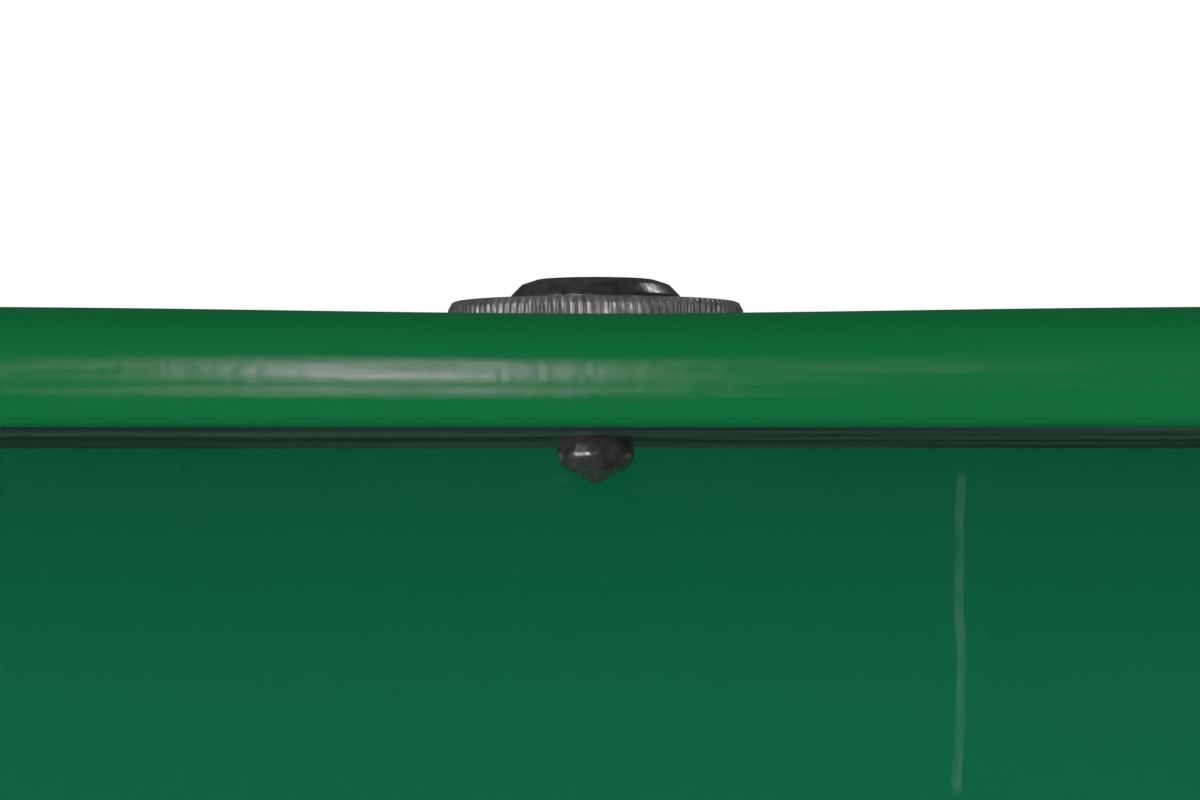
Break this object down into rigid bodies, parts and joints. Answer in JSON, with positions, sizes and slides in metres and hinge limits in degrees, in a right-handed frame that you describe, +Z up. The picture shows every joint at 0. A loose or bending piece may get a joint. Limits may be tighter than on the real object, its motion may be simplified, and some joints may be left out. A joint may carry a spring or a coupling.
{
  "type": "newspaper vending box",
  "caption": "Coin-operated newspaper vending box on a pedestal, with a sprung windowed door, coin mechanism, cash drawer and riveted hood lip.",
  "frame": {"origin": "on the ground, at the middle of the object's outline seen from above", "axes": "+Z up, -Y towards the user in front of the door, +X to the right of a user facing the door"},
  "size_m": [0.496, 0.431, 1.2536],
  "materials": {
    "green_enamel": "gloss enamel over steel sheet",
    "black_enamel": "satin powder coat",
    "dark_steel": "dark brushed",
    "galvanised": "dull zinc",
    "bright_steel": "turned and plated",
    "chrome": "polished",
    "cast_plate": "brushed",
    "spring_steel": "oiled wire",
    "rubber": "matte",
    "clear_sheet": "clear polycarbonate",
    "card": "coated card",
    "price_enamel": "gloss"
  },
  "bodies": {
    "cabinet": {"back_panel": "green_enamel", "back_panel_rivets": "bright_steel", "base_gussets": "black_enamel", "base_plate": "black_enamel", "cabinet_floor": "galvanised", "card_cover": "clear_sheet", "card_frame": "black_enamel", "card_frame_rivets": "bright_steel", "chain_eye": "chrome", "coin_chute": "galvanised", "coin_faceplate": "cast_plate", "column": "black_enamel", "column_bolts": "galvanised", "column_cap": "black_enamel", "column_nuts": "galvanised", "display_card": "card", "door_bumpers": "rubber", "door_springs": "spring_steel", "drawer_housing": "galvanised", "faceplate_screws": "bright_steel", "header_panel": "green_enamel", "hinge_brackets": "galvanised", "hinge_rod": "bright_steel", "hinge_rod_clips": "spring_steel", "hood_rivet_washers": "chrome", "hood_rivets": "chrome", "hood_underplate": "dark_steel", "lower_panel": "green_enamel", "mech_chassis": "galvanised", "pivot_pins": "bright_steel", "price_plate": "price_enamel", "return_cup": "galvanised", "return_spring": "spring_steel", "rivet_spacers": "galvanised", "roof_angles": "galvanised", "roof_cover": "green_enamel", "shelf": "galvanised", "shelf_brackets": "galvanised", "side_panel_left": "green_enamel", "side_panel_right": "green_enamel", "sill_angle": "galvanised", "wall_screws": "bright_steel"},
    "door": {"door_pan": "green_enamel", "window_gasket": "rubber", "window_pane": "clear_sheet", "window_retainer": "galvanised", "retainer_studs": "bright_steel", "door_handle": "chrome", "handle_screws": "bright_steel", "door_wings": "galvanised"},
    "bail": {"display_bail": "black_enamel"},
    "button": {"return_button": "chrome"},
    "button_lever": {"return_lever": "bright_steel"},
    "rocker": {"coin_rocker": "bright_steel"},
    "latch": {"latch_lever": "bright_steel"},
    "flap": {"return_flap": "bright_steel"},
    "drawer": {"cash_drawer": "green_enamel", "lock_body": "chrome"},
    "lock": {"lock_plug": "bright_steel"}
  },
  "joints": [
    {"name": "door_hinge", "type": "hinge", "parent": "cabinet", "child": "door", "pos_m": [0, -0.1625, 0.6579], "axis": [1, 0, 0], "range_deg": [0, 50], "stiffness_Nm_per_rad": 5, "springref_deg": -40.11, "deforming": ["door_springs"]},
    {"name": "bail_pivot", "type": "hinge", "parent": "door", "child": "bail", "pos_m": [0, -0.1565, 1.0079], "axis": [1, 0, 0], "range_deg": [0, 70]},
    {"name": "button_push", "type": "slide", "parent": "cabinet", "child": "button", "axis": [0, 1, 0], "range_m": [0, 0.005], "stiffness_N_per_m": 200, "springref_m": -0.005, "deforming": ["return_spring"]},
    {"name": "button_lever_pivot", "type": "hinge", "parent": "cabinet", "child": "button_lever", "pos_m": [0.186, -0.1265, 1.2119], "axis": [1, 0, 0], "range_deg": [0, 15]},
    {"name": "rocker_pivot", "type": "hinge", "parent": "cabinet", "child": "rocker", "pos_m": [0.16, -0.0985, 1.1239], "axis": [1, 0, 0], "range_deg": [0, 10]},
    {"name": "latch_pivot", "type": "hinge", "parent": "cabinet", "child": "latch", "pos_m": [0.196, -0.1105, 1.0959], "axis": [1, 0, 0], "range_deg": [0, 6]},
    {"name": "flap_pivot", "type": "hinge", "parent": "cabinet", "child": "flap", "pos_m": [0.16, -0.1675, 1.1319], "axis": [1, 0, 0], "range_deg": [0, 45]},
    {"name": "drawer_slide", "type": "slide", "parent": "cabinet", "child": "drawer", "axis": [1, 0, 0], "range_m": [0, 0.1]},
    {"name": "lock_turn", "type": "hinge", "parent": "drawer", "child": "lock", "pos_m": [0.242, -0.0045, 1.1129], "axis": [1, 0, 0], "range_deg": [0, 90]}
  ],
  "couplings": [
    {"joint": "button_lever_pivot", "follows": "button_push", "rad_per_m": 50},
    {"joint": "latch_pivot", "follows": "rocker_pivot", "ratio": 0.6}
  ]
}
